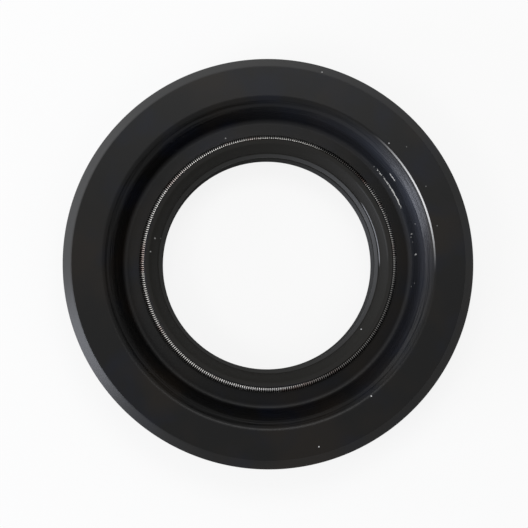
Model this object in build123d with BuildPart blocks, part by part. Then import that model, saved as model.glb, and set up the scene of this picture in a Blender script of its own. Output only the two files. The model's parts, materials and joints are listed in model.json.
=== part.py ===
from build123d import *

import os
from math import cos, radians, sin, sqrt, tan

# A radial shaft seal: an elastomer body with a sealing lip and a dust lip, a
# stamped steel stiffening ring bonded inside it, and a garter spring in a
# groove behind the lip. The origin is the centre of the back face, the air
# side, and +Z runs along the shaft to the front, the oil side.
# Sizes are in millimetres, "run" is radial and "rise" is axial.

# Sizes that the seal is ordered by
shaft_diameter = 38.0
housing_diameter = 70.0
seal_width = 10.0

# Sealing lip: its free edge is smaller than the shaft
lip_overlap = 0.75
lip_setback = 3.3
lip_land = 0.2
trimmed_run = 0.55
trimmed_rise = 0.35
air_cone_angle = 30.0
air_cone_rise = 1.9

# Nose in front of the spring groove
nose_setback = 1.4
nose_slope_rise = 0.1
nose_chamfer = 0.2
oil_face_run = 2.2

# Garter spring and the groove that it lies in, both drawn with small flats
coil_diameter = 1.8
coil_flats = 10
groove_flats = 6
groove_clearance = 0.05
spring_offset = 3.05
spring_drop = 0.35
ledge_run = 0.15

# Flexible web behind the lip, open channel in front of it and front face. Their
# runs share out the room between the ledge and the chamfer in this proportion
web_run = 2.4
channel_run = 0.35
wall_foot_run = 1.5
wall_mouth_run = 1.5
face_run = 5.3
channel_height = 5.0
wall_mouth_rise = 1.5
face_edge_round = 0.5

# Outside of the body
front_chamfer_run = 1.6
front_chamfer_rise = 1.3
lead_in_run = 0.7
lead_in_rise = 1.5

# Dust lip, the pocket in front of it and the relief behind it
dust_lip_overlap = 0.75
dust_land = 0.3
dust_height = 0.45
pocket_run = 4.35
pocket_height = 3.6
relief_run = 3.65
relief_height = 1.5
relief_mouth_run = 1.5

# Steel stiffening ring: an L section with its flange at the back
sheet = 1.2
cover_outside = 1.6
cover_back = 1.0
cover_front = 1.8
flange_lap = 0.15

# Recesses left in the back face by the pins that held the ring in the mould
pin_count = 4
pin_diameter = 2.2

# Radii and heights that several pieces share
lip_radius = shaft_diameter / 2 - lip_overlap
lip_height = seal_width - lip_setback
dust_radius = shaft_diameter / 2 - dust_lip_overlap
coil_radius = coil_diameter / 2
spring_radius = lip_radius + spring_offset
spring_height = lip_height - spring_drop
nose_height = seal_width - nose_setback
housing_radius = housing_diameter / 2
chamfer_radius = housing_radius - front_chamfer_run
ledge_radius = spring_radius + coil_radius + ledge_run
front_runs = web_run + channel_run + wall_foot_run + wall_mouth_run + face_run
front_share = (chamfer_radius - ledge_radius) / front_runs
channel_radius = ledge_radius + front_share * web_run
wall_foot_radius = channel_radius + front_share * channel_run
wall_break_radius = wall_foot_radius + front_share * wall_foot_run
wall_mouth_radius = wall_break_radius + front_share * wall_mouth_run
steel_radius = housing_radius - cover_outside
flange_radius = channel_radius - flange_lap
pin_circle_radius = (flange_radius + steel_radius) / 2


def coil_point(radius, step):
    """A corner of the flats round the coil's centre, from its front towards the shaft."""
    angle = radians(90 + 360 * step / coil_flats)
    return (spring_radius + radius * cos(angle), spring_height + radius * sin(angle))


# Garter spring: the outer form of the close-wound coil, joined into a ring
with BuildPart() as garter_spring:
    with BuildSketch(Plane.XZ):
        Polygon(*[coil_point(coil_radius, step) for step in range(coil_flats)], align=None)
    revolve(axis=Axis.Z)

# Steel ring: one sheet drawn into a cylinder with an inward flange, its bend
# flattened on the outside so that the sheet keeps its thickness there
with BuildPart() as steel_insert:
    bend_flat = sheet * (2 - sqrt(2))
    with BuildSketch(Plane.XZ):
        Polygon(
            (flange_radius, cover_back),
            (steel_radius - bend_flat, cover_back),
            (steel_radius, cover_back + bend_flat),
            (steel_radius, seal_width - cover_front),
            (steel_radius - sheet, seal_width - cover_front),
            (steel_radius - sheet, cover_back + sheet),
            (flange_radius, cover_back + sheet),
            align=None,
        )
    revolve(axis=Axis.Z)

# Elastomer body: one moulded section turned about the shaft's axis
with BuildPart() as rubber_body:
    with BuildSketch(Plane.XZ):
        with BuildLine():
            # The groove wraps the spring from under the nose round to its seat
            groove_clear = coil_radius + groove_clearance
            groove = Polyline(*[coil_point(groove_clear, step) for step in range(groove_flats + 1)])
            seat = groove @ 1

            # Ledge under the spring, front of the web, channel, wall and front face
            channel_side = FilletPolyline(
                seat,
                (ledge_radius, seat.Y),
                (channel_radius, channel_height),
                (wall_foot_radius, channel_height),
                (wall_break_radius, seal_width - wall_mouth_rise),
                (wall_mouth_radius, seal_width),
                (chamfer_radius, seal_width),
                radius=[0, 0, 0, 0, face_edge_round],
            )

            # Front chamfer, press-fit outside, lead-in chamfer and back face
            outside = Polyline(
                channel_side @ 1,
                (housing_radius, seal_width - front_chamfer_rise),
                (housing_radius, lead_in_rise),
                (housing_radius - lead_in_run, 0),
                (dust_radius + relief_run + relief_mouth_run, 0),
            )

            # Relief behind the dust lip, the dust lip, the pocket and the heel
            land_height = lip_height - lip_land
            heel_run = air_cone_rise * tan(radians(air_cone_angle))
            air_side = Polyline(
                outside @ 1,
                (dust_radius + relief_run, relief_height),
                (dust_radius, dust_height),
                (dust_radius, dust_height + dust_land),
                (dust_radius + pocket_run, pocket_height),
                (lip_radius + heel_run, land_height - air_cone_rise),
                (lip_radius, land_height),
            )

            # Lip edge, its trimmed face, the oil-side cone and the nose
            Polyline(
                air_side @ 1,
                (lip_radius, lip_height),
                (lip_radius + trimmed_run, lip_height + trimmed_rise),
                (lip_radius + oil_face_run, nose_height - nose_slope_rise),
                (spring_radius - nose_chamfer, nose_height),
                (spring_radius, nose_height - nose_chamfer),
                groove @ 0,
            )
        make_face()
    revolve(axis=Axis.Z)

    # The steel ring fills its own space in the moulding
    add(steel_insert.part, mode=Mode.SUBTRACT)

    # Pin recesses in the middle of the flange, open as far as the steel
    with BuildSketch(Plane.XY):
        with PolarLocations(pin_circle_radius, pin_count):
            Circle(pin_diameter / 2)
    extrude(amount=cover_back, mode=Mode.SUBTRACT)

rubber_body.part.label = "rubber_body"
steel_insert.part.label = "steel_insert"
garter_spring.part.label = "garter_spring"

os.makedirs("parts", exist_ok=True)
export_step(rubber_body.part, "parts/rubber_body.step")
export_step(steel_insert.part, "parts/steel_insert.step")
export_step(garter_spring.part, "parts/garter_spring.step")
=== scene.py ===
"""Looks of a radial shaft seal: the moulded rubber body with its fine roundings, the wound garter spring,
the coated steel ring that shows in the back face's recesses, and a plain studio seen from above."""

import json
import math
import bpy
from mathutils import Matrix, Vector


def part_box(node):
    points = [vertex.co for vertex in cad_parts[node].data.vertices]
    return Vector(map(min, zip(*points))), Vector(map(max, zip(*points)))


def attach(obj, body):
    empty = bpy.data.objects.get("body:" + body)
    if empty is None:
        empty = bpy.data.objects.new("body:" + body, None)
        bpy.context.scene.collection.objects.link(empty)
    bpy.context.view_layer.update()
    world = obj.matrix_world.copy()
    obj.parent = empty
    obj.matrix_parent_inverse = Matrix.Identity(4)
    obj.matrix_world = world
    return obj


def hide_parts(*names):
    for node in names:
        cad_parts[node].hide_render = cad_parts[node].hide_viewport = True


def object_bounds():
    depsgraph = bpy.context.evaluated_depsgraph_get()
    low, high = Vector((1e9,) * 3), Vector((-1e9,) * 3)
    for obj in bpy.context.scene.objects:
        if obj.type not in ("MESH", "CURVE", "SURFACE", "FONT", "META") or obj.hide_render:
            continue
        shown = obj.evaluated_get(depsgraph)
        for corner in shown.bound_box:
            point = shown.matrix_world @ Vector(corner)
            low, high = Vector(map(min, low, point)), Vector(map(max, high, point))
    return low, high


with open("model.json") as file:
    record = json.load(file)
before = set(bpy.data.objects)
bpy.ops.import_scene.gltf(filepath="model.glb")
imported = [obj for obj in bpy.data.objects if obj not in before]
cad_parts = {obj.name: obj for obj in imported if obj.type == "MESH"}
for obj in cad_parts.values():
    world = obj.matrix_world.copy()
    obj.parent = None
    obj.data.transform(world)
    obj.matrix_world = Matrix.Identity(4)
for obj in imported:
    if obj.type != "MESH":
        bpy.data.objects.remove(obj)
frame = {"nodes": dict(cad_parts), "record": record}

from types import SimpleNamespace

import bpy
import numpy as np
from bpy.props import FloatProperty, FloatVectorProperty, IntProperty, PointerProperty
from mathutils import Matrix, Vector

bl_info = {
    "name": "Shaft Seal",
    "version": (1, 0, 0),
    "blender": (4, 5, 0),
    "location": "3D View > Sidebar > Shaft Seal",
    "description": "Builds the surfaces, finishes and studio of a radial shaft seal round its packed model",
    "category": "Object",
}

MM = 0.001
BODY = "root"

# The frame says where the pieces are: the mounts give the radii, the boxes the heights
CAD_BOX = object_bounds()
MOUNTS = {mount["name"]: mount for mount in frame["record"]["mounts"]}
SPRING_LOW, SPRING_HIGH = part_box("garter_spring")
STEEL_LOW, STEEL_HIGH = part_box("steel_insert")
LIP_RADIUS = MOUNTS["shaft_bore"]["dims"]["r_mm"] * MM
HOUSING_RADIUS = MOUNTS["housing_fit"]["dims"]["r_mm"] * MM
SEAL_WIDTH = CAD_BOX[1].z - CAD_BOX[0].z
COIL_DIAMETER = SPRING_HIGH.z - SPRING_LOW.z
SPRING_RADIUS = 21.3 * MM

# Sizes of the moulded section and the sheet that the frame doesn't say: radii, radial runs and axial rises
GROOVE_CLEARANCE = 0.05 * MM
LEDGE_RADIUS = 22.35 * MM
CHANNEL_RADIUS = 24.92 * MM
BREAK_RADIUS = 26.6 * MM
MOUTH_RADIUS = 28.1 * MM
CHAMFER_RUN = 1.6 * MM
CHAMFER_RISE = 1.3 * MM
LEAD_IN_RUN = 0.7 * MM
LEAD_IN_RISE = 1.5 * MM
SHEET = 1.2 * MM
FLANGE_RADIUS = 24.6 * MM

# The spring's wire: steps along each turn and round its section
TURN_STEPS = 14
WIRE_SIDES = 16

# The wire's colour is a painted highlight from this cosine of the angle from its crown on, and wholly so this
# much higher; the rest of the wire is painted shade
CROWN_FROM = 0.86
CROWN_SPAN = 0.12

# Mould pins' recesses in the back face: their place, size and number, and how many rings of the surface's
# grid are gathered round each, of which the one at HOLE_RING becomes the rim. Each ring's radius is given as
# a share of the recess's, and how far its points are pulled there, from the innermost ring out. The recess's
# wall ends at the rim's height, where it turns into the face
PIN_CIRCLE = 29.0 * MM
PIN_RADIUS = 1.1 * MM
PIN_COUNT = 4
PIN_RINGS = 7
HOLE_RING = 3
RING_RADII = np.array([0.2, 0.5, 0.8, 1.0, 1.0, 1.06, 1.3, 1.7])
RING_PULL = np.array([1.0, 1.0, 1.0, 1.0, 1.0, 1.0, 0.6, 0.0])
RIM_HEIGHT = 0.06 * MM

# Marks of use and painted light and shade lie above this height, on the front: the back stays clean
FRONT_FROM = 4.3 * MM

# Sizes of the clouds of bloom and of oil, and the values of their noise between which they appear
BLOOM_SIZE = 8 * MM
OIL_SIZE = 12 * MM
CLOUD_SHOWS = (0.48, 0.66)

# Where a finish starts and where it is complete, in millimetres from the axis, and for the chamfer also in
# millimetres from the back face
FINISH_RAMPS = {
    "worn lip": (21.2, 20.8),
    "cut face": (18.85, 18.75),
    "inside of channel light": (24.0, 25.2),
    "outside of channel light": (28.3, 26.2),
    "chamfer": (33.3, 33.7),
}
CHAMFER_HEIGHTS = (8.55, 8.75)

# Roughness of the lip, and what it turns to on the way out: each ramp's start and end in millimetres from the
# axis and its roughness
LIP_ROUGHNESS = 0.65
ROUGHNESS_RAMPS = (
    (20.8, 21.2, 0.5),
    (24.4, 25.4, 0.34),
    (28.2, 28.4, 0.4),
)

# The side whose channel wall and cut face look towards the key lamp, where the painted light is strongest, and
# how far from it the painted light in the channel and on the cut face ends, in degrees, with the power by
# which it thins out on the way
LIT_SIDE = 24
LIT_SIDE_REACH = 120
LIT_SIDE_FADE = 2.5

# The painted highlight along the channel's mouth, on the side that faces the key lamp: its radius and half
# width in millimetres, how far from the lit side it ends and is complete, in degrees, and how much it covers
MOUTH_EDGE = (28.2, 0.13)
MOUTH_HIGHLIGHT_REACH = (28, 2)
MOUTH_HIGHLIGHT_COVER = 0.9

# Painted light on the front chamfer, where the lamps reflect in it: its middle, and how far from it it ends
# and is complete, in degrees
LIT_CHAMFER_MIDDLE = 140
LIT_CHAMFER_REACH = (115, 40)

# Fine grain of the rubber: the size of its noise and its share in the relief
GRAIN_SIZE = 0.35 * MM
GRAIN_RELIEF = 0.02

# The residue's dashes, which are partly painted glints, break up into grains where that noise is too low for
# them. The angles in degrees between which they thicken, the noise that they need at the first and at the
# second, and how far their line wavers
RESIDUE_ENDS = (46, 26)
RESIDUE_NEEDS = (0.64, 0.25)
RESIDUE_WAVER = 0.3 * MM

# Tool marks on the channel's wall: their radius and half width in millimetres, and their noise, of which one
# unit is this wide across them and 20 mm long along them, where a radian is 26 mm
MARKED_WALL = (26.6, 1.25)
MARK_WIDTH = 1.2 * MM
MARKS_PER_RADIAN = 26 / 20

# Dashes of dried residue in the channel's corner, which are partly painted glints, and a painted highlight
# along the wall's break: radius and half width in millimetres, middle and half arc in degrees
RESIDUE_AND_GLINTS = (
    (25.2, 0.085, 33, 10.5),
    (26.15, 0.04, 35, 2),
)

# Fine lines round the lip on the side that faces the key lamp, in the same numbers and each with its colour: a
# painted highlight streak on the cone, and at the cut edge a painted highlight outside and a painted shadow in
# the notch inside
LIP_LINES = (
    ("trimmed_and_highlight", (20.3, 0.09, 22, 22)),
    ("edge_highlight", (19.02, 0.07, 16, 18)),
    ("painted_shade", (18.86, 0.09, 25, 32)),
)

# Specks of dust: place across the seal and half width in millimetres, and how much they cover. Those about 25
# mm from the axis on the right go on from the residue's dashes and are partly painted glints too
SPECKS = (
    (17.2, -22.6, 0.13, 0.7),
    (8.3, -31.1, 0.12, 0.7),
    (15.8, -11.3, 0.11, 0.6),
    (9.0, 32.6, 0.11, 0.6),
    (-7.4, 21.7, 0.11, 0.5),
    (-20.18, 1.85, 0.11, 0.5),
    (-19.45, 4.15, 0.14, 0.4),
    (-18.5, 4.2, 0.08, 0.3),
    (20.4, 20.4, 0.11, 0.5),
    (23.4, 19.8, 0.08, 0.25),
    (26.7, 13.05, 0.08, 0.25),
    (25.45, 1.62, 0.14, 0.8),
    (24.8, 5.2, 0.12, 0.6),
    (24.75, 4.65, 0.08, 0.5),
    (25.2, 6.8, 0.08, 0.3),
    (25.0, 3.8, 0.08, 0.3),
    (28.6, 6.3, 0.09, 0.25),
    (25.2, -3.35, 0.07, 0.3),
    (24.75, -3.9, 0.07, 0.3),
)

# Arcs where the spring's wire is painted darker, as painted shade and a painted dark reflection: middle, half
# arc and length of the thin end in degrees, and the share of the wire's bright colour that stays
DARKENED_ARCS = (
    (53.5, 11, 4, 0.2),
    (-40, 24, 20, 0.45),
)

# Lamps: azimuth and elevation in degrees, distance, width and height in metres, and colour
LAMPS = {
    "key": (203, 12, 0.6, 0.3, 0.2, "#eef2ff"),
    "side": (152, 14, 0.6, 0.5, 0.2, "#ffffff"),
    "front": (200, 48, 0.6, 0.4, 0.16, "#ffffff"),
    "top": (88, 62, 0.38, 0.24, 0.14, "#ffffff"),
}

# The board: half its side, how far it lies below the seal, and its share of plain white when it is seen
BOARD_HALF = 1.5
BOARD_GAP = 0.05 * MM
BOARD_WHITE = 0.85

# The photograph: its width and the seal's outline in it, in its pixels. The sensor is in millimetres
PHOTO_WIDTH = 528
OUTLINE_RADIUS_PX = 205.68
OUTLINE_CENTRE_PX = (267.98, 264.2)
SENSOR_WIDTH = 36.0


def linear(code):
    """A colour written as sRGB hex, turned to the linear red, green, blue and alpha that nodes take."""
    share = np.array([int(code[i : i + 2], 16) for i in (1, 3, 5)]) / 255
    rgb = np.where(share <= 0.04045, share / 12.92, ((share + 0.055) / 1.055) ** 2.4)
    return (*rgb.tolist(), 1.0)


class SealSizes(bpy.types.PropertyGroup):
    """Sizes of the moulded section that a user would change, as radial runs and axial heights"""

    lip_land: FloatProperty(
        name="Lip land", description="Axial width of the sealing edge", default=0.2 * MM, unit="LENGTH"
    )
    lip_height: FloatProperty(
        name="Lip height", description="Height of the sealing edge", default=6.7 * MM, unit="LENGTH"
    )
    nose_height: FloatProperty(
        name="Nose height", description="Height of the nose's top", default=8.6 * MM, unit="LENGTH"
    )
    channel_height: FloatProperty(
        name="Channel height", description="Height of the channel's floor", default=5.0 * MM, unit="LENGTH"
    )
    wall_break: FloatProperty(
        name="Wall break",
        description="Height where the channel's wall turns steeper",
        default=8.5 * MM,
        unit="LENGTH",
    )
    columns: IntProperty(name="Columns", description="Steps of the body round the shaft's axis", default=600)
    turns: IntProperty(name="Turns", description="Turns of the garter spring's wire", default=370)
    wire: FloatProperty(
        name="Wire", description="Diameter of the spring's wire", default=0.34 * MM, unit="LENGTH"
    )


class SealColours(bpy.types.PropertyGroup):
    """Colours of the finishes and of the painted light and shade, as linear values"""

    rubber: FloatVectorProperty(
        name="Rubber",
        description="Carbon-black nitrile",
        default=linear("#0c0c0c"),
        size=4,
        subtype="COLOR",
    )
    bloom: FloatVectorProperty(
        name="Bloom",
        description="Bluish wax bloom on the rubber",
        default=linear("#0b0e17"),
        size=4,
        subtype="COLOR",
    )
    oil: FloatVectorProperty(
        name="Oil",
        description="Brownish film of assembly oil",
        default=linear("#16120e"),
        size=4,
        subtype="COLOR",
    )
    worn: FloatVectorProperty(
        name="Worn",
        description="Lip, greyed by handling",
        default=linear("#181714"),
        size=4,
        subtype="COLOR",
    )
    # The cut face's own colour, which also paints the highlight streak on the cone
    trimmed_and_highlight: FloatVectorProperty(
        name="Trimmed",
        description="Cut face at the lip's edge, and a streak on the cone",
        default=linear("#2a2a29"),
        size=4,
        subtype="COLOR",
    )
    # Painted highlight on the cut face, strongest on the side that faces the key lamp
    cut_face_highlight: FloatVectorProperty(
        name="Handled",
        description="Cut face where it is greyed most",
        default=linear("#4a4b4d"),
        size=4,
        subtype="COLOR",
    )
    # Painted highlight on the lip's cut edge
    edge_highlight: FloatVectorProperty(
        name="Burr",
        description="Light burr at the cut face",
        default=linear("#7c7d80"),
        size=4,
        subtype="COLOR",
    )
    # Painted light on the front chamfer, where the lamps reflect in it
    lit_chamfer: FloatVectorProperty(
        name="Scuffed",
        description="Front chamfer, greyed by scuffs",
        default=linear("#3b3b3b"),
        size=4,
        subtype="COLOR",
    )
    # Painted light in the channel: a bluish grey that stands in for the key lamp's reflection on the wall and
    # lightens the shaded corner, on the side that faces the lamp
    film: FloatVectorProperty(
        name="Film",
        description="Dried oil in the channel",
        default=linear("#373a42"),
        size=4,
        subtype="COLOR",
    )
    # Dust, and also the painted highlight along the channel's mouth and the painted glints in its corner and
    # on the wall's break
    dust_and_highlight: FloatVectorProperty(
        name="Dust",
        description="Specks and dried residue",
        default=linear("#e4e4e4"),
        size=4,
        subtype="COLOR",
    )
    wire: FloatVectorProperty(
        name="Wire",
        description="Drawn spring steel",
        default=linear("#f2f0ec"),
        size=4,
        subtype="COLOR",
    )
    tarnish: FloatVectorProperty(
        name="Tarnish",
        description="Reddish film on the wire",
        default=linear("#c9a9a0"),
        size=4,
        subtype="COLOR",
    )
    # Painted shade: the wire's sides and the gaps between its turns, its darkened arcs, and the notch at the
    # lip's cut edge
    painted_shade: FloatVectorProperty(
        name="Grease",
        description="Dark grease between the turns and at the cut face",
        default=linear("#0c0b0a"),
        size=4,
        subtype="COLOR",
    )
    coat: FloatVectorProperty(
        name="Coat",
        description="Phosphate and bonding coat",
        default=linear("#57544c"),
        size=4,
        subtype="COLOR",
    )
    crystals: FloatVectorProperty(
        name="Crystals",
        description="Darker crystals of the coat",
        default=linear("#3b3934"),
        size=4,
        subtype="COLOR",
    )


class StudioSettings(bpy.types.PropertyGroup):
    """Camera, lamps and floor"""

    distance: FloatProperty(
        name="Distance", description="From the camera to the seal's rim", default=0.25, unit="LENGTH"
    )
    tilt: FloatProperty(
        name="Tilt",
        description="Lean of the view from straight above",
        default=math.radians(4),
        subtype="ANGLE",
    )
    tilt_towards: FloatProperty(
        name="Tilt towards",
        description="Side that the camera stands over, counter-clockwise from the photograph's right",
        default=math.radians(230),
        subtype="ANGLE",
    )
    ambient: FloatProperty(name="Ambient", description="Strength of the world's light", default=0.48)
    key_power: FloatProperty(name="Key", description="Power of the low lamp", default=2.2, unit="POWER")
    side_power: FloatProperty(
        name="Side", description="Power of the low fill lamp", default=0.5, unit="POWER"
    )
    front_power: FloatProperty(
        name="Front", description="Power of the lamp at mid height", default=0.5, unit="POWER"
    )
    top_power: FloatProperty(name="Top", description="Power of the high lamp", default=0.36, unit="POWER")
    floor: FloatVectorProperty(
        name="Floor", description="Matt white board", default=linear("#f4f4f4"), size=4, subtype="COLOR"
    )


def add_node(tree, kind, inputs=None, **settings):
    """Adds one node: settings are its own properties, and inputs its values or the sockets that feed it."""
    made = tree.nodes.new(kind)
    for name, value in settings.items():
        setattr(made, name, value)
    for name, value in (inputs or {}).items():
        if isinstance(value, bpy.types.NodeSocket):
            tree.links.new(value, made.inputs[name])
        else:
            made.inputs[name].default_value = value
    return made


def new_material(name):
    """A new material with an empty node tree, and that tree."""
    material = bpy.data.materials.new(name)
    material.use_nodes = True
    material.node_tree.nodes.clear()
    return material, material.node_tree


def layered(tree, colour, layers):
    """Lays tints over a colour in order. Each layer is a tint and the shares whose product is its cover."""
    for tint, *shares in layers:
        cover = shares[0]
        for share in shares[1:]:
            cover = add_node(tree, "ShaderNodeMath", {0: cover, 1: share}, operation="MULTIPLY").outputs[0]
        colour = add_node(
            tree, "ShaderNodeMix", {"Factor": cover, "A": colour, "B": tint}, data_type="RGBA"
        ).outputs["Result"]
    return colour


def away_from(tree, angle, degrees):
    """The size of the difference between an angle and one that is given in degrees."""
    other = math.radians(degrees)
    turn = add_node(tree, "ShaderNodeMath", {0: angle, 1: other}, operation="SUBTRACT").outputs[0]
    return add_node(tree, "ShaderNodeMath", {0: turn}, operation="ABSOLUTE").outputs[0]


def arc_line(tree, radius, angle, line):
    """A share that is 1 on an arc round the axis, given as its radius and half width in millimetres and the
    middle and half of its arc in degrees, and 0 elsewhere. It fades over the last fifth of its arc."""
    place_out, half, middle, half_arc = line
    ring = add_node(
        tree, "ShaderNodeMath", {0: radius, 1: place_out * MM, 2: half * MM}, operation="COMPARE"
    ).outputs[0]
    end = math.radians(half_arc)
    arc = add_node(
        tree,
        "ShaderNodeMapRange",
        {"Value": away_from(tree, angle, middle), "From Min": end, "From Max": 0.8 * end},
    ).outputs[0]
    return add_node(tree, "ShaderNodeMath", {0: ring, 1: arc}, operation="MULTIPLY").outputs[0]


def seal_places(tree):
    """The sockets that say where a point lies: its place, height, place across the seal, radius, angle, and
    whether it is on the front."""
    place = add_node(tree, "ShaderNodeTexCoord").outputs["Object"]
    axes = add_node(tree, "ShaderNodeSeparateXYZ", {0: place}).outputs
    flat = add_node(tree, "ShaderNodeCombineXYZ", {0: axes[0], 1: axes[1]}).outputs[0]
    return SimpleNamespace(
        place=place,
        height=axes[2],
        flat=flat,
        radius=add_node(tree, "ShaderNodeVectorMath", {0: flat}, operation="LENGTH").outputs["Value"],
        angle=add_node(tree, "ShaderNodeMath", {0: axes[1], 1: axes[0]}, operation="ARCTAN2").outputs[0],
        front=add_node(
            tree, "ShaderNodeMath", {0: axes[2], 1: FRONT_FROM}, operation="GREATER_THAN"
        ).outputs[0],
    )


def white_marks(tree, at, grain):
    """A share that is 1 on the dried residue, which is partly painted glints, and on the painted highlight
    along the wall's break, and lower on the dusty specks, which cover less.
    """
    start, end = RESIDUE_ENDS
    most, least = RESIDUE_NEEDS
    needs = add_node(
        tree,
        "ShaderNodeMapRange",
        {
            "Value": at.angle,
            "From Min": math.radians(start),
            "From Max": math.radians(end),
            "To Min": most,
            "To Max": least,
        },
    ).outputs[0]
    thick = add_node(tree, "ShaderNodeMath", {0: grain, 1: needs}, operation="GREATER_THAN").outputs[0]
    wavering = add_node(
        tree, "ShaderNodeMath", {0: grain, 1: RESIDUE_WAVER, 2: at.radius}, operation="MULTIPLY_ADD"
    ).outputs[0]
    white = 0.0
    for line in RESIDUE_AND_GLINTS:
        dash = arc_line(tree, wavering, at.angle, line)
        dash = add_node(tree, "ShaderNodeMath", {0: dash, 1: thick}, operation="MULTIPLY").outputs[0]
        white = add_node(tree, "ShaderNodeMath", {0: white, 1: dash}, operation="MAXIMUM").outputs[0]
    for x, y, half, cover in SPECKS:
        away = add_node(
            tree, "ShaderNodeVectorMath", {0: at.flat, 1: (x * MM, y * MM, 0)}, operation="DISTANCE"
        ).outputs["Value"]
        speck = add_node(tree, "ShaderNodeMath", {0: away, 1: half * MM}, operation="LESS_THAN").outputs[0]
        speck = add_node(tree, "ShaderNodeMath", {0: speck, 1: cover}, operation="MULTIPLY").outputs[0]
        white = add_node(tree, "ShaderNodeMath", {0: white, 1: speck}, operation="MAXIMUM").outputs[0]
    return white


def rubber_colour(tree, colours, at, grain):
    """The rubber's colour: clouds of bloom and oil over the carbon black, and over them the marks of use and
    the painted light and shade.
    """
    clouds = []
    for size in (BLOOM_SIZE, OIL_SIZE):
        noise = add_node(tree, "ShaderNodeTexNoise", {"Vector": at.place, "Scale": 1 / size}).outputs["Fac"]
        cloud = add_node(
            tree,
            "ShaderNodeMapRange",
            {"Value": noise, "From Min": CLOUD_SHOWS[0], "From Max": CLOUD_SHOWS[1]},
        )
        clouds.append(cloud.outputs[0])
    over = {}
    for name, (start, end) in FINISH_RAMPS.items():
        ramp = add_node(
            tree, "ShaderNodeMapRange", {"Value": at.radius, "From Min": start * MM, "From Max": end * MM}
        )
        over[name] = ramp.outputs[0]

    # The painted light in the channel thins out from the side that faces the key lamp, and the cut face gets
    # its painted highlight there
    apart = away_from(tree, at.angle, LIT_SIDE)
    near = add_node(
        tree, "ShaderNodeMapRange", {"Value": apart, "From Min": math.radians(LIT_SIDE_REACH), "From Max": 0.0}
    ).outputs[0]
    near = add_node(tree, "ShaderNodeMath", {0: near, 1: LIT_SIDE_FADE}, operation="POWER").outputs[0]
    cut_face = layered(tree, colours.trimmed_and_highlight, [(colours.cut_face_highlight, near)])

    # The channel's mouth gets a painted highlight on the same side
    radius, half = MOUTH_EDGE
    edge = add_node(
        tree, "ShaderNodeMath", {0: at.radius, 1: radius * MM, 2: half * MM}, operation="COMPARE"
    ).outputs[0]
    end, full = (math.radians(reach) for reach in MOUTH_HIGHLIGHT_REACH)
    mouth_highlight = add_node(
        tree,
        "ShaderNodeMapRange",
        {"Value": apart, "From Min": end, "From Max": full, "To Max": MOUTH_HIGHLIGHT_COVER},
        interpolation_type="SMOOTHSTEP",
    ).outputs[0]

    # The chamfer's painted light goes by the cosine of the angle from its middle, which has no seam
    middle = math.radians(LIT_CHAMFER_MIDDLE)
    turn = add_node(tree, "ShaderNodeMath", {0: at.angle, 1: middle}, operation="SUBTRACT").outputs[0]
    turn = add_node(tree, "ShaderNodeMath", {0: turn}, operation="COSINE").outputs[0]
    end, full = (math.cos(math.radians(reach)) for reach in LIT_CHAMFER_REACH)
    lit_chamfer = add_node(
        tree, "ShaderNodeMapRange", {"Value": turn, "From Min": end, "From Max": full}
    ).outputs[0]
    low, high = CHAMFER_HEIGHTS
    above = add_node(
        tree, "ShaderNodeMapRange", {"Value": at.height, "From Min": low * MM, "From Max": high * MM}
    ).outputs[0]

    return layered(
        tree,
        colours.rubber,
        [
            (colours.bloom, clouds[0]),
            (colours.oil, clouds[1]),
            (colours.worn, over["worn lip"]),
            (cut_face, over["cut face"]),
            # Painted highlights on the cone and the cut edge, and a painted shadow in the notch inside it
            *[
                (getattr(colours, tint), arc_line(tree, at.radius, at.angle, line), at.front)
                for tint, line in LIP_LINES
            ],
            # Painted light in the channel on the side that faces the key lamp
            (colours.film, near, over["inside of channel light"], over["outside of channel light"], at.front),
            # Painted highlight along the channel's mouth
            (colours.dust_and_highlight, mouth_highlight, edge, at.front),
            # Painted light on the front chamfer
            (colours.lit_chamfer, lit_chamfer, over["chamfer"], above),
            # Dust, residue and painted glints
            (colours.dust_and_highlight, white_marks(tree, at, grain), at.front),
        ],
    )


def tool_marks(tree, at):
    """Height of the marks that were turned into the channel's wall: noise that is stretched round the axis,
    and 0 off the wall. It goes by the direction from the axis, which has no seam."""
    along = add_node(tree, "ShaderNodeMath", {0: at.radius, 1: at.height}, operation="ADD").outputs[0]
    across = add_node(tree, "ShaderNodeMath", {0: along, 1: 1 / MARK_WIDTH}, operation="MULTIPLY").outputs[0]
    across = add_node(tree, "ShaderNodeCombineXYZ", {2: across}).outputs[0]
    heading = add_node(tree, "ShaderNodeVectorMath", {0: at.flat}, operation="NORMALIZE").outputs[0]
    heading = add_node(
        tree, "ShaderNodeVectorMath", {0: heading, "Scale": MARKS_PER_RADIAN}, operation="SCALE"
    ).outputs[0]
    streak = add_node(tree, "ShaderNodeVectorMath", {0: heading, 1: across}, operation="ADD").outputs[0]
    marks = add_node(
        tree, "ShaderNodeTexNoise", {"Vector": streak, "Scale": 1.0, "Detail": 3.0}
    ).outputs["Fac"]
    radius, half = MARKED_WALL
    on_wall = add_node(
        tree, "ShaderNodeMath", {0: at.radius, 1: radius * MM, 2: half * MM}, operation="COMPARE"
    ).outputs[0]
    on_wall = add_node(tree, "ShaderNodeMath", {0: on_wall, 1: at.front}, operation="MULTIPLY").outputs[0]
    return add_node(tree, "ShaderNodeMath", {0: marks, 1: on_wall}, operation="MULTIPLY").outputs[0]


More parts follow.
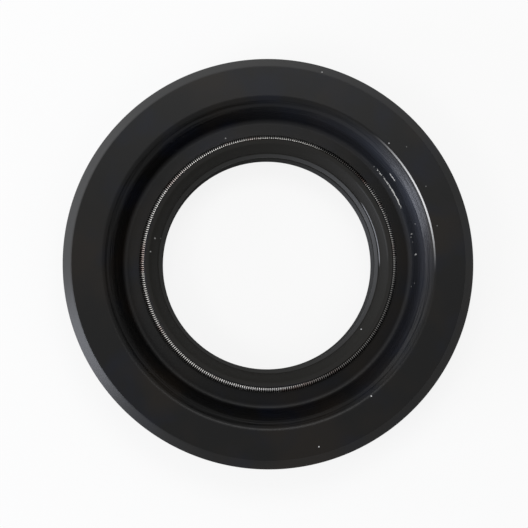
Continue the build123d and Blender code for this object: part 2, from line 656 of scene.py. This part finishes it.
def nitrile_rubber(colours):
    """Moulded black nitrile rubber, satin on the face from the blasted mould, glossier on the channel's wall
    and greyer on the lip. Bloom and assembly oil tint it in clouds, and turned tool marks streak the wall.
    On the side that faces the key lamp the channel has painted light, a bluish grey that stands in for the
    lamp's reflection, a painted highlight along its mouth and residue in its corner that is partly painted
    glints. The front chamfer is painted lighter where the lamps reflect in it, painted highlights and a
    painted shadow run along the lip, and a few dusty specks lie about."""
    material, tree = new_material("moulded_nitrile_rubber")
    at = seal_places(tree)
    grain = add_node(
        tree, "ShaderNodeTexNoise", {"Vector": at.place, "Scale": 1 / GRAIN_SIZE, "Detail": 2.0}
    ).outputs["Fac"]
    surface = rubber_colour(tree, colours, at, grain)
    rough = LIP_ROUGHNESS
    for start, end, value in ROUGHNESS_RAMPS:
        rough = add_node(
            tree,
            "ShaderNodeMapRange",
            {
                "Value": at.radius,
                "From Min": start * MM,
                "From Max": end * MM,
                "To Min": rough,
                "To Max": value,
            },
        ).outputs[0]
    fine = add_node(tree, "ShaderNodeMath", {0: grain, 1: GRAIN_RELIEF}, operation="MULTIPLY").outputs[0]
    marks = tool_marks(tree, at)
    relief = add_node(tree, "ShaderNodeMath", {0: marks, 1: fine}, operation="ADD").outputs[0]
    bump = add_node(
        tree, "ShaderNodeBump", {"Strength": 1.0, "Distance": 0.25 * MM, "Height": relief}
    ).outputs["Normal"]
    shader = add_node(
        tree,
        "ShaderNodeBsdfPrincipled",
        {"Base Color": surface, "Roughness": rough, "Normal": bump, "IOR": 1.34},
    )
    add_node(tree, "ShaderNodeOutputMaterial", {"Surface": shader.outputs[0]})
    return material


def drawn_wire(colours):
    """Drawn spring steel, wound and oiled: its colour is a painted highlight on the crown of each turn and
    painted shade on the rest of the wire and between the turns, with a reddish film here and there. Over two
    arcs the coils are painted darker still, as painted shade and a painted dark reflection."""
    material, tree = new_material("drawn_spring_steel")
    place = add_node(tree, "ShaderNodeTexCoord").outputs["Object"]
    axes = add_node(tree, "ShaderNodeSeparateXYZ", {0: place}).outputs
    angle = add_node(tree, "ShaderNodeMath", {0: axes[1], 1: axes[0]}, operation="ARCTAN2").outputs[0]
    film = add_node(tree, "ShaderNodeTexNoise", {"Vector": place, "Scale": 1 / (4 * MM)}).outputs["Fac"]
    tint = add_node(
        tree, "ShaderNodeMapRange", {"Value": film, "From Min": 0.54, "From Max": 0.74}
    ).outputs[0]
    tone = layered(tree, colours.wire, [(colours.tarnish, tint)])
    # Over two arcs the wire's bright colour gives way to painted shade and a painted dark reflection
    clear = 1.0
    for middle, half, end, least in DARKENED_ARCS:
        shows = add_node(
            tree,
            "ShaderNodeMapRange",
            {
                "Value": away_from(tree, angle, middle),
                "From Min": math.radians(half),
                "From Max": math.radians(half + end),
                "To Min": least,
            },
        ).outputs[0]
        clear = add_node(tree, "ShaderNodeMath", {0: clear, 1: shows}, operation="MULTIPLY").outputs[0]
    crown = add_node(tree, "ShaderNodeAttribute", attribute_name="crown").outputs["Fac"]
    # The crown takes the wire's colour as a painted highlight, and the rest of the wire is painted shade
    surface = layered(tree, colours.painted_shade, [(tone, crown, clear)])
    rough = add_node(
        tree, "ShaderNodeMapRange", {"Value": film, "To Min": 0.28, "To Max": 0.34}
    ).outputs[0]
    shader = add_node(
        tree, "ShaderNodeBsdfPrincipled", {"Base Color": surface, "Metallic": 1.0, "Roughness": rough}
    )
    add_node(tree, "ShaderNodeOutputMaterial", {"Surface": shader.outputs[0]})
    return material


def coated_sheet(colours):
    """Steel sheet with a phosphate and bonding coat: matt, grey-brown and finely blotched."""
    material, tree = new_material("phosphated_steel_sheet")
    place = add_node(tree, "ShaderNodeTexCoord").outputs["Object"]
    crystals = add_node(
        tree, "ShaderNodeTexNoise", {"Vector": place, "Scale": 1 / (0.4 * MM), "Detail": 4.0}
    ).outputs["Fac"]
    tone = layered(tree, colours.coat, [(colours.crystals, crystals)])
    bump = add_node(
        tree, "ShaderNodeBump", {"Strength": 0.5, "Distance": 0.02 * MM, "Height": crystals}
    ).outputs["Normal"]
    shader = add_node(
        tree,
        "ShaderNodeBsdfPrincipled",
        {"Base Color": tone, "Metallic": 0.3, "Roughness": 0.6, "Normal": bump},
    )
    add_node(tree, "ShaderNodeOutputMaterial", {"Surface": shader.outputs[0]})
    return material


def new_piece(name, points, faces, material, normals=None):
    """A mesh object at the origin from arrays of points and quads."""
    mesh = bpy.data.meshes.new(name)
    mesh.from_pydata(points.tolist(), [], faces.tolist())
    mesh.polygons.foreach_set("use_smooth", np.ones(len(faces), bool))
    if normals is not None:
        mesh.normals_split_custom_set_from_vertices(normals.tolist())
    mesh.materials.append(material)
    mesh.update()
    piece = bpy.data.objects.new(name, mesh)
    bpy.context.scene.collection.objects.link(piece)
    return piece


def rounded_outline(corners, radii, steps):
    """Rounds a closed outline of (radius, height) corners and gives its points and their outward normals.
    At each corner the outline turns by an angle, and an arc that starts radius * tan(turn / 2) before the
    corner and is tangent to both sides takes its place, with its points at equal steps of the turn."""
    into = corners - np.roll(corners, 1, axis=0)
    into /= np.linalg.norm(into, axis=1)[:, None]
    out = np.roll(into, -1, axis=0)
    turn = np.arctan2(into[:, 0] * out[:, 1] - into[:, 1] * out[:, 0], (into * out).sum(axis=1))
    left = np.stack([-into[:, 1], into[:, 0]], axis=1)
    start = corners - into * (radii * np.tan(np.abs(turn) / 2))[:, None]
    centre = start + left * (radii * np.sign(turn))[:, None]
    which = np.repeat(np.arange(len(corners)), steps)
    first = np.repeat(np.cumsum(steps) - steps, steps)
    share = (np.arange(len(which)) - first) / np.maximum(steps[which] - 1, 1)
    angle = turn[which] * np.where(steps[which] > 1, share, 0.5)
    cos, sin = np.cos(angle), np.sin(angle)

    def turned(vectors):
        x, y = vectors[which].T
        return np.stack([x * cos - y * sin, x * sin + y * cos], axis=1)

    return centre[which] + turned(start - centre), turned(-left)


def turned_grid(outline, normals, columns):
    """Turns an outline round the Z axis: row is a point of the outline, column a step of the angle.
    x = radius * cos(angle), y = radius * sin(angle), z = height."""
    angle = np.arange(columns) * (2 * np.pi / columns)
    cos, sin = np.cos(angle), np.sin(angle)

    def around(pairs):
        across, up = pairs[:, 0], np.repeat(pairs[:, 1:], columns, axis=1)
        return np.stack([np.outer(across, cos), np.outer(across, sin), up], axis=2)

    return around(outline), around(normals)


def body_corners(sizes):
    """Corners of the moulded section, counter-clockwise as (radius, height), each with its rounding and the
    number of points on it, and the index of the back face's middle row. All in metres."""
    spring_height = (SPRING_LOW.z + SPRING_HIGH.z) / 2
    coil = COIL_DIAMETER / 2
    groove = coil + GROOVE_CLEARANCE
    lip, front = LIP_RADIUS, SEAL_WIDTH
    seat_angle = math.radians(54)
    ledge = spring_height - groove * math.sin(seat_angle)

    # The groove's sides touch its circle 72 degrees apart, and the circle rounds their three corners
    groove_angles = np.radians(np.array([126, 198, 270]))
    reach = groove / math.cos(math.radians(36))
    around = np.stack(
        [SPRING_RADIUS + reach * np.cos(groove_angles), spring_height + reach * np.sin(groove_angles)], axis=1
    )
    seat = (SPRING_RADIUS + groove * math.cos(seat_angle), ledge)

    # The groove from under the nose to its seat, ledge, channel, wall, front face and outside
    rows = [
        ((SPRING_RADIUS, spring_height + groove), 0.0, 1),
        *[(tuple(point), groove, 7) for point in around],
        (seat, 0.0, 1),
        ((LEDGE_RADIUS, ledge), 0.5 * MM, 4),
        ((CHANNEL_RADIUS, sizes.channel_height), 1.0 * MM, 10),
        ((BREAK_RADIUS, sizes.wall_break), 1.5 * MM, 6),
        ((MOUTH_RADIUS, front), 1.1 * MM, 10),
        ((HOUSING_RADIUS - CHAMFER_RUN, front), 0.1 * MM, 4),
        ((HOUSING_RADIUS, front - CHAMFER_RISE), 0.1 * MM, 4),
        ((HOUSING_RADIUS, LEAD_IN_RISE), 0.3 * MM, 4),
        ((HOUSING_RADIUS - LEAD_IN_RUN, 0), 0.2 * MM, 4),
    ]

    # Rows across the back face, as far apart as the columns are on the circle of the pins
    rings = np.arange(PIN_RINGS, -PIN_RINGS - 1, -1)
    middle_row = sum(row[2] for row in rows) + PIN_RINGS
    rows += [((PIN_CIRCLE + ring * PIN_CIRCLE * 2 * math.pi / sizes.columns, 0), 0.0, 1) for ring in rings]

    # Relief, dust lip, pocket, heel, sealing edge, cut face with the groove behind it, and nose. Runs are from
    # the lips' radius
    rows += [
        ((lip + 5.15 * MM, 0), 0.3 * MM, 4),
        ((lip + 3.65 * MM, 1.5 * MM), 0.3 * MM, 5),
        ((lip, 0.45 * MM), 0.04 * MM, 3),
        ((lip, 0.75 * MM), 0.04 * MM, 3),
        ((lip + 4.35 * MM, 3.6 * MM), 0.25 * MM, 5),
        ((lip + 1.097 * MM, 4.6 * MM), 0.2 * MM, 4),
        ((lip, sizes.lip_height - sizes.lip_land), 0.03 * MM, 3),
        ((lip, sizes.lip_height), 0.03 * MM, 3),
        ((lip + 0.55 * MM, sizes.lip_height + 0.35 * MM), 0.02 * MM, 3),
        ((lip + 0.588 * MM, sizes.lip_height + 0.383 * MM), 0.0, 1),
        ((lip + 0.733 * MM, sizes.lip_height + 0.338 * MM), 0.03 * MM, 3),
        ((lip + 0.708 * MM, sizes.lip_height + 0.489 * MM), 0.0, 1),
        ((lip + 2.2 * MM, sizes.nose_height - 0.1 * MM), 0.4 * MM, 6),
        ((SPRING_RADIUS - 0.2 * MM, sizes.nose_height), 0.08 * MM, 4),
        ((SPRING_RADIUS, sizes.nose_height - 0.2 * MM), 0.08 * MM, 4),
    ]
    corners, radii, steps = zip(*rows)
    return np.array(corners, float), np.array(radii, float), np.array(steps), middle_row


def cavity_corners(sizes):
    """Corners of the steel ring's space, counter-clockwise, and the index of its middle row on the flange."""
    inner, outer = FLANGE_RADIUS, STEEL_HIGH.x
    low, high = STEEL_LOW.z, STEEL_HIGH.z
    flat = SHEET * (2 - math.sqrt(2))
    rings = np.arange(-PIN_RINGS, PIN_RINGS + 1)
    middle_row = 1 + PIN_RINGS
    points = [
        (inner, low),
        *[(PIN_CIRCLE + ring * PIN_CIRCLE * 2 * math.pi / sizes.columns, low) for ring in rings],
        (outer - flat, low),
        (outer, low + flat),
        (outer, high),
        (outer - SHEET, high),
        (outer - SHEET, low + SHEET),
        (inner, low + SHEET),
    ]
    return np.array(points, float), middle_row


def open_recesses(grid, normals, middle_row, row_sign, heights, columns):
    """Gathers the square rings of the grid round each pin's place into circles, and sets their heights. A
    point's ring is the larger of its steps from the pin's place along the radius and round the axis, and its
    direction there stays. Each ring goes to the circle of its own radius, and the outermost stays."""
    step = np.arange(-PIN_RINGS, PIN_RINGS + 1)
    along, across = np.meshgrid(step, step, indexing="ij")
    ring = np.maximum(np.abs(along), np.abs(across))
    direction = np.arctan2(across, along)
    circle = (RING_RADII * PIN_RADIUS)[ring]
    pull = RING_PULL[ring][..., None]
    for pin in range(PIN_COUNT):
        column = pin * columns // PIN_COUNT
        turn = pin * 2 * math.pi / PIN_COUNT
        rows = middle_row + row_sign * along
        cols = (column + across) % columns
        spoke = np.array([math.cos(turn), math.sin(turn), 0])
        side = np.array([-math.sin(turn), math.cos(turn), 0])
        wanted = (
            PIN_CIRCLE * spoke
            + (circle * np.cos(direction))[..., None] * spoke
            + (circle * np.sin(direction))[..., None] * side
        )
        here = grid[rows, cols]
        wanted[..., 2] = here[..., 2]
        moved = here + pull * (wanted - here)
        moved[..., 2] = heights[ring]
        grid[rows, cols] = moved
        wall = (ring == HOLE_RING) | (ring == HOLE_RING + 1)
        inward = -(np.cos(direction)[..., None] * spoke + np.sin(direction)[..., None] * side)
        normals[rows[wall], cols[wall]] = inward[wall]


def grid_quads(indices, facing_out):
    """Quads between neighbouring rows and columns of a grid that closes both ways."""
    beside = np.roll(indices, -1, axis=1)
    quads = np.stack([indices, beside, np.roll(beside, -1, axis=0), np.roll(indices, -1, axis=0)], axis=2)
    return quads if facing_out else quads[..., ::-1]


def without_holes(quads, middle_row, columns):
    """Drops the quads inside each recess's rim."""
    keep = np.ones(quads.shape[:2], bool)
    span = np.arange(-HOLE_RING, HOLE_RING)
    for pin in range(PIN_COUNT):
        column = pin * columns // PIN_COUNT
        keep[np.ix_(middle_row + span, (column + span) % columns)] = False
    return quads[keep]


def rubber_surface(sizes):
    """The body's points, quads and normals: the moulded section turned round the axis, and inside it the
    steel ring's space, joined through the pin recesses in the back face."""
    columns = sizes.columns
    corners, radii, steps, back_row = body_corners(sizes)
    outline, outward = rounded_outline(corners, radii, steps)
    outer, outer_normals = turned_grid(outline, outward, columns)

    space, flange_row = cavity_corners(sizes)
    space_outline, space_outward = rounded_outline(space, np.zeros(len(space)), np.ones(len(space), int))
    inner, inner_normals = turned_grid(space_outline, -space_outward, columns)

    flange = STEEL_LOW.z
    back_heights = np.array([flange, flange, flange, flange, RIM_HEIGHT, 0, 0, 0])
    open_recesses(outer, outer_normals, back_row, -1, back_heights, columns)
    open_recesses(inner, inner_normals, flange_row, 1, np.full(PIN_RINGS + 1, flange), columns)

    outer_index = np.arange(outer.shape[0] * columns).reshape(outer.shape[:2])
    inner_index = outer_index.size + np.arange(inner.shape[0] * columns).reshape(inner.shape[:2])
    step = np.arange(-HOLE_RING, HOLE_RING + 1)
    along, across = np.meshgrid(step, step, indexing="ij")
    rim = np.maximum(np.abs(along), np.abs(across)) == HOLE_RING
    for pin in range(PIN_COUNT):
        cols = (pin * columns // PIN_COUNT + across[rim]) % columns
        inner_index[flange_row + along[rim], cols] = outer_index[back_row - along[rim], cols]

    quads = np.concatenate(
        [
            without_holes(grid_quads(outer_index, True), back_row, columns),
            without_holes(grid_quads(inner_index, False), flange_row, columns),
        ]
    )
    points = np.concatenate([outer.reshape(-1, 3), inner.reshape(-1, 3)])
    normals = np.concatenate([outer_normals.reshape(-1, 3), inner_normals.reshape(-1, 3)])
    used, renumbered = np.unique(quads, return_inverse=True)
    return points[used], renumbered.reshape(quads.shape), normals[used]


def spring_surface(sizes):
    """The wound wire, closed into a ring. Its centre line turns round the ring's own circle while that goes
    once round the axis: radius = ring + coil * cos(turns * angle) and height = middle + coil *
    sin(turns * angle). The wire's section is a circle across that line. The last array is 1 on its crown and
    0 at the gaps, and says where the finish puts its painted highlight."""
    wire = sizes.wire / 2
    coil = COIL_DIAMETER / 2 - wire
    steps = sizes.turns * TURN_STEPS
    angle = np.arange(steps) * (2 * np.pi / steps)
    wound = sizes.turns * angle
    spoke = np.stack([np.cos(angle), np.sin(angle), np.zeros_like(angle)], axis=1)
    up = np.array([0.0, 0.0, 1.0])
    outward = np.cos(wound)[:, None] * spoke + np.sin(wound)[:, None] * up
    line = SPRING_RADIUS * spoke + coil * outward
    line[:, 2] += (SPRING_LOW.z + SPRING_HIGH.z) / 2
    ahead = np.roll(line, -1, axis=0) - np.roll(line, 1, axis=0)
    ahead /= np.linalg.norm(ahead, axis=1)[:, None]
    outward -= (outward * ahead).sum(axis=1)[:, None] * ahead
    outward /= np.linalg.norm(outward, axis=1)[:, None]
    across = np.cross(ahead, outward)
    section = np.arange(WIRE_SIDES) * (2 * np.pi / WIRE_SIDES)
    points = (
        line[:, None]
        + wire * np.cos(section)[None, :, None] * outward[:, None]
        + wire * np.sin(section)[None, :, None] * across[:, None]
    )
    indices = np.arange(steps * WIRE_SIDES).reshape(steps, WIRE_SIDES)
    # Where the wire's painted highlight lies
    crown = np.clip((np.cos(section) - CROWN_FROM) / CROWN_SPAN, 0, 1)
    return points.reshape(-1, 3), grid_quads(indices, True).reshape(-1, 4), np.tile(crown, len(points))


class SEAL_OT_rubber_body(bpy.types.Operator):
    """Builds the moulded rubber body with its fine roundings and gives it its finish"""

    bl_idname = "shaft_seal.rubber_body"
    bl_label = "Rubber Body"

    def execute(self, context):
        points, quads, normals = rubber_surface(context.scene.seal_sizes)
        body = new_piece("moulded_body", points, quads, nitrile_rubber(context.scene.seal_colours), normals)
        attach(body, BODY)
        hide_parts("rubber_body")
        return {"FINISHED"}


class SEAL_OT_garter_spring(bpy.types.Operator):
    """Winds the garter spring's wire and closes it into a ring"""

    bl_idname = "shaft_seal.garter_spring"
    bl_label = "Garter Spring"

    def execute(self, context):
        points, quads, crown = spring_surface(context.scene.seal_sizes)
        spring = new_piece("wound_spring", points, quads, drawn_wire(context.scene.seal_colours))
        spring.data.attributes.new("crown", "FLOAT", "POINT").data.foreach_set("value", crown)
        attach(spring, BODY)
        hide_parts("garter_spring")
        return {"FINISHED"}


class SEAL_OT_steel_ring(bpy.types.Operator):
    """Gives the steel stiffening ring its coated finish"""

    bl_idname = "shaft_seal.steel_ring"
    bl_label = "Steel Ring"

    def execute(self, context):
        ring = frame["nodes"]["steel_insert"]
        ring.data.materials.clear()
        ring.data.materials.append(coated_sheet(context.scene.seal_colours))
        return {"FINISHED"}


def from_above(azimuth, elevation, distance):
    """The point that far from the origin, azimuth counter-clockwise from +X and elevation above the floor."""
    level = distance * math.cos(elevation)
    return Vector((level * math.cos(azimuth), level * math.sin(azimuth), distance * math.sin(elevation)))


def add_lamp(name, power, azimuth, elevation, distance, width, height, colour):
    """A soft rectangular lamp that points at the seal."""
    lamp = bpy.data.lights.new(name, "AREA")
    lamp.shape = "RECTANGLE"
    lamp.size = width
    lamp.size_y = height
    lamp.energy = power
    lamp.color = linear(colour)[:3]
    holder = bpy.data.objects.new(name, lamp)
    holder.location = from_above(math.radians(azimuth), math.radians(elevation), distance)
    holder.rotation_euler = (-holder.location).to_track_quat("-Z", "Y").to_euler()
    bpy.context.scene.collection.objects.link(holder)


def add_camera(settings):
    """A camera over the seal that shows its outline where the photograph does. The lens follows from the
    outline's size in pixels and the distance, and the aim from how far its centre lies from the middle. A
    circle that is seen at a lean looks larger on its near side, which shifts its middle by
    radius ** 2 * sin(lean) / distance."""
    rim = Vector((0, 0, SEAL_WIDTH - CHAMFER_RISE))
    pixels_per_metre = OUTLINE_RADIUS_PX / HOUSING_RADIUS
    middle = PHOTO_WIDTH / 2
    aim = rim + Vector((middle - OUTLINE_CENTRE_PX[0], OUTLINE_CENTRE_PX[1] - middle, 0)) / pixels_per_metre
    data = bpy.data.cameras.new("camera")
    data.sensor_width = SENSOR_WIDTH
    data.lens = pixels_per_metre * settings.distance * SENSOR_WIDTH / PHOTO_WIDTH
    data.clip_start = 0.01
    camera = bpy.data.objects.new("camera", data)
    back = from_above(settings.tilt_towards, math.pi / 2 - settings.tilt, settings.distance)
    near_side = from_above(settings.tilt_towards, 0, 1)
    shift = HOUSING_RADIUS**2 * math.sin(settings.tilt) / settings.distance
    camera.location = aim + back + near_side * shift
    across = Vector((0, 1, 0)).cross(back).normalized()
    up = back.cross(across).normalized()
    camera.rotation_euler = Matrix((across, up, back.normalized())).transposed().to_euler()
    bpy.context.scene.collection.objects.link(camera)
    bpy.context.scene.camera = camera


def matt_board(settings):
    """Matt white board. The camera and reflections see most of it at full white, and the rest takes the
    lamps' light and the seal's shadow."""
    material, tree = new_material("matt_white_board")
    seen = add_node(tree, "ShaderNodeLightPath").outputs
    direct = add_node(
        tree, "ShaderNodeMath", {0: seen["Is Camera Ray"], 1: seen["Is Glossy Ray"]}, operation="MAXIMUM"
    ).outputs[0]
    direct = add_node(
        tree, "ShaderNodeMath", {0: direct, 1: seen["Is Transmission Ray"]}, operation="MAXIMUM"
    ).outputs[0]
    share = add_node(tree, "ShaderNodeMath", {0: direct, 1: BOARD_WHITE}, operation="MULTIPLY").outputs[0]
    matt = add_node(tree, "ShaderNodeBsdfDiffuse", {"Color": settings.floor})
    glow = add_node(tree, "ShaderNodeEmission", {"Color": (1, 1, 1, 1), "Strength": 1.0})
    mix = add_node(tree, "ShaderNodeMixShader", {0: share, 1: matt.outputs[0], 2: glow.outputs[0]})
    add_node(tree, "ShaderNodeOutputMaterial", {"Surface": mix.outputs[0]})
    return material


def plain_world(settings):
    """An even grey sky that lights the seal, which the camera sees as white."""
    world = bpy.data.worlds.new("studio")
    world.use_nodes = True
    tree = world.node_tree
    tree.nodes.clear()
    seen = add_node(tree, "ShaderNodeLightPath").outputs
    soft = add_node(tree, "ShaderNodeBackground", {"Color": (1, 1, 1, 1), "Strength": settings.ambient})
    white = add_node(tree, "ShaderNodeBackground", {"Color": (1, 1, 1, 1), "Strength": 1.0})
    mix = add_node(
        tree, "ShaderNodeMixShader", {0: seen["Is Camera Ray"], 1: soft.outputs[0], 2: white.outputs[0]}
    )
    add_node(tree, "ShaderNodeOutputWorld", {"Surface": mix.outputs[0]})
    bpy.context.scene.world = world


class SEAL_OT_studio(bpy.types.Operator):
    """Lays the white board, hangs the lamps and sets the camera over the seal"""

    bl_idname = "shaft_seal.studio"
    bl_label = "Studio"

    def execute(self, context):
        settings = context.scene.studio_settings
        signs = ((-1, -1), (1, -1), (1, 1), (-1, 1))
        corners = np.array([(x * BOARD_HALF, y * BOARD_HALF, -BOARD_GAP) for x, y in signs])
        board = new_piece("board", corners, np.array([(0, 1, 2, 3)]), matt_board(settings))
        plain_world(settings)
        for name, lamp in LAMPS.items():
            add_lamp(name, getattr(settings, name + "_power"), *lamp)
        add_camera(settings)
        context.scene.view_settings.view_transform = "Standard"
        return {"FINISHED"}


class SEAL_PT_panel(bpy.types.Panel):
    """Lists the steps that build the seal's looks"""

    bl_idname = "SEAL_PT_panel"
    bl_label = "Shaft Seal"
    bl_space_type = "VIEW_3D"
    bl_region_type = "UI"
    bl_category = "Shaft Seal"

    def draw(self, context):
        for step in STEPS:
            self.layout.operator(step.bl_idname)
        for group in ("seal_sizes", "seal_colours", "studio_settings"):
            box = self.layout.box()
            settings = getattr(context.scene, group)
            for name in settings.__annotations__:
                box.prop(settings, name)


STEPS = (SEAL_OT_rubber_body, SEAL_OT_garter_spring, SEAL_OT_steel_ring, SEAL_OT_studio)
CLASSES = (SealSizes, SealColours, StudioSettings, *STEPS, SEAL_PT_panel)


def register():
    for cls in CLASSES:
        bpy.utils.register_class(cls)
    bpy.types.Scene.seal_sizes = PointerProperty(type=SealSizes)
    bpy.types.Scene.seal_colours = PointerProperty(type=SealColours)
    bpy.types.Scene.studio_settings = PointerProperty(type=StudioSettings)


def unregister():
    del bpy.types.Scene.studio_settings
    del bpy.types.Scene.seal_colours
    del bpy.types.Scene.seal_sizes
    for cls in reversed(CLASSES):
        bpy.utils.unregister_class(cls)


def main():
    """Builds every piece and the studio in order."""
    register()
    bpy.ops.shaft_seal.rubber_body()
    bpy.ops.shaft_seal.garter_spring()
    bpy.ops.shaft_seal.steel_ring()
    bpy.ops.shaft_seal.studio()


if __name__ == "__main__":
    main()
